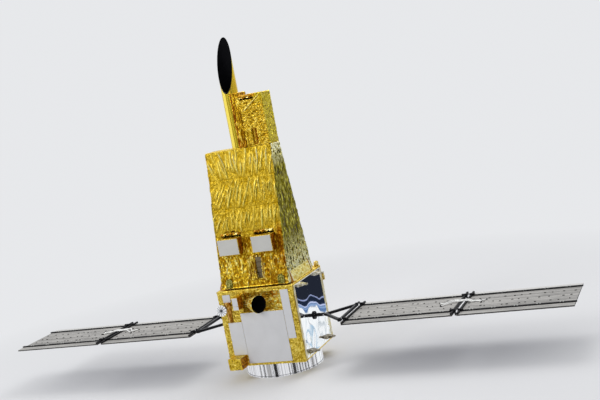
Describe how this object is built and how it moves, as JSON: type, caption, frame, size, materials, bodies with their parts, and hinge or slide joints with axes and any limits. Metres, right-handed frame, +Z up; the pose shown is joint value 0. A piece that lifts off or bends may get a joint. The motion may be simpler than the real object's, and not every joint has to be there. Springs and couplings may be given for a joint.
{
  "type": "small scientific satellite",
  "caption": "Foil-covered space telescope satellite on a launch separation ring, with a slant-cut baffle tube and folding two-panel solar wings that turn on drives.",
  "frame": {"origin": "centre of the separation ring's lower face, on the ring's axis", "axes": "+X along the right wing, +Y towards the back, +Z up the long axis towards the telescope's baffle"},
  "size_m": [7.138, 1.14, 3.98],
  "materials": {
    "polished_ring": "turned and polished to a mirror",
    "gold_foil": "crinkled metallised film blanket",
    "smooth_gold_film": "smooth metallised film over a tube",
    "amber_foil": "darker creased film",
    "olive_foil": "dull creased film",
    "silver_film": "wrinkled mirror film",
    "radiator_white": "flat pale grey radiator surface",
    "antenna_white": "matt white",
    "matte_black": "deep matt black",
    "black_composite": "satin black composite",
    "bare_metal": "dull machined metal",
    "white_tape": "pale edge tape on foil",
    "vent_grey": "grey brown painted",
    "panel_back": "pale facesheet with fine lines",
    "solar_cell": "dark blue cover glass over cells"
  },
  "bodies": {
    "root_structure": {"separation_ring": "polished_ring", "bus_body": "gold_foil", "front_radiators": "radiator_white", "back_radiators": "radiator_white", "star_tracker_shroud": "gold_foil", "star_tracker_liner": "matte_black", "sensor_box": "gold_foil", "white_patches": "radiator_white", "sensor_hood": "amber_foil", "corner_box": "gold_foil", "antenna_stub": "gold_foil", "radial_antenna": "antenna_white", "side_films": "silver_film", "drive_flanges": "matte_black", "hold_down_brackets": "bare_metal", "module_feet": "bare_metal", "instrument_housing": "gold_foil", "module_radiator_boxes": "gold_foil", "module_radiator_faces": "radiator_white", "vent_frame": "gold_foil", "vent_plates": "vent_grey", "foot_covers": "olive_foil", "base_skirts": "gold_foil", "base_gussets": "white_tape", "corner_knobs": "gold_foil", "upper_housing": "gold_foil", "baffle_fairing": "gold_foil", "telescope_baffle": "smooth_gold_film", "baffle_liner": "matte_black"},
    "right_root": {"root_fitting_right": "black_composite"},
    "right_yoke": {"yoke_right": "black_composite"},
    "right_inner": {"inner_frame_right": "black_composite", "inner_panel_right": "panel_back", "inner_cells_right": "solar_cell"},
    "right_outer": {"outer_frame_right": "black_composite", "outer_panel_right": "panel_back", "outer_cells_right": "solar_cell"},
    "left_root": {"root_fitting_left": "black_composite"},
    "left_yoke": {"yoke_left": "black_composite"},
    "left_inner": {"inner_frame_left": "black_composite", "inner_panel_left": "panel_back", "inner_cells_left": "solar_cell"},
    "left_outer": {"outer_frame_left": "black_composite", "outer_panel_left": "panel_back", "outer_cells_left": "solar_cell"}
  },
  "joints": [
    {"name": "right_drive", "type": "hinge", "parent": "root_structure", "child": "right_root", "pos_m": [0.5045, 0, 0.58], "axis": [1, 0, 0], "range_deg": [-90, 90]},
    {"name": "right_fold", "type": "hinge", "parent": "right_root", "child": "right_yoke", "pos_m": [0.615, 0, 0.58], "axis": [0, 1, 0], "range_deg": [0, 90]},
    {"name": "right_inner_hinge", "type": "hinge", "parent": "right_yoke", "child": "right_inner", "pos_m": [0.952, 0, 0.605], "axis": [0, 1, 0], "range_deg": [-180, 0]},
    {"name": "right_outer_hinge", "type": "hinge", "parent": "right_inner", "child": "right_outer", "pos_m": [2.288, 0, 0.535], "axis": [0, 1, 0], "range_deg": [0, 180]},
    {"name": "left_drive", "type": "hinge", "parent": "root_structure", "child": "left_root", "pos_m": [-0.5045, 0, 0.58], "axis": [1, 0, 0], "range_deg": [-90, 90]},
    {"name": "left_fold", "type": "hinge", "parent": "left_root", "child": "left_yoke", "pos_m": [-0.615, 0, 0.58], "axis": [0, -1, 0], "range_deg": [0, 90]},
    {"name": "left_inner_hinge", "type": "hinge", "parent": "left_yoke", "child": "left_inner", "pos_m": [-0.952, 0, 0.605], "axis": [0, -1, 0], "range_deg": [-180, 0]},
    {"name": "left_outer_hinge", "type": "hinge", "parent": "left_inner", "child": "left_outer", "pos_m": [-2.288, 0, 0.535], "axis": [0, -1, 0], "range_deg": [0, 180]}
  ],
  "couplings": [
    {"joint": "right_inner_hinge", "follows": "right_fold", "ratio": -2},
    {"joint": "right_outer_hinge", "follows": "right_fold", "ratio": 2},
    {"joint": "left_inner_hinge", "follows": "left_fold", "ratio": -2},
    {"joint": "left_outer_hinge", "follows": "left_fold", "ratio": 2}
  ]
}
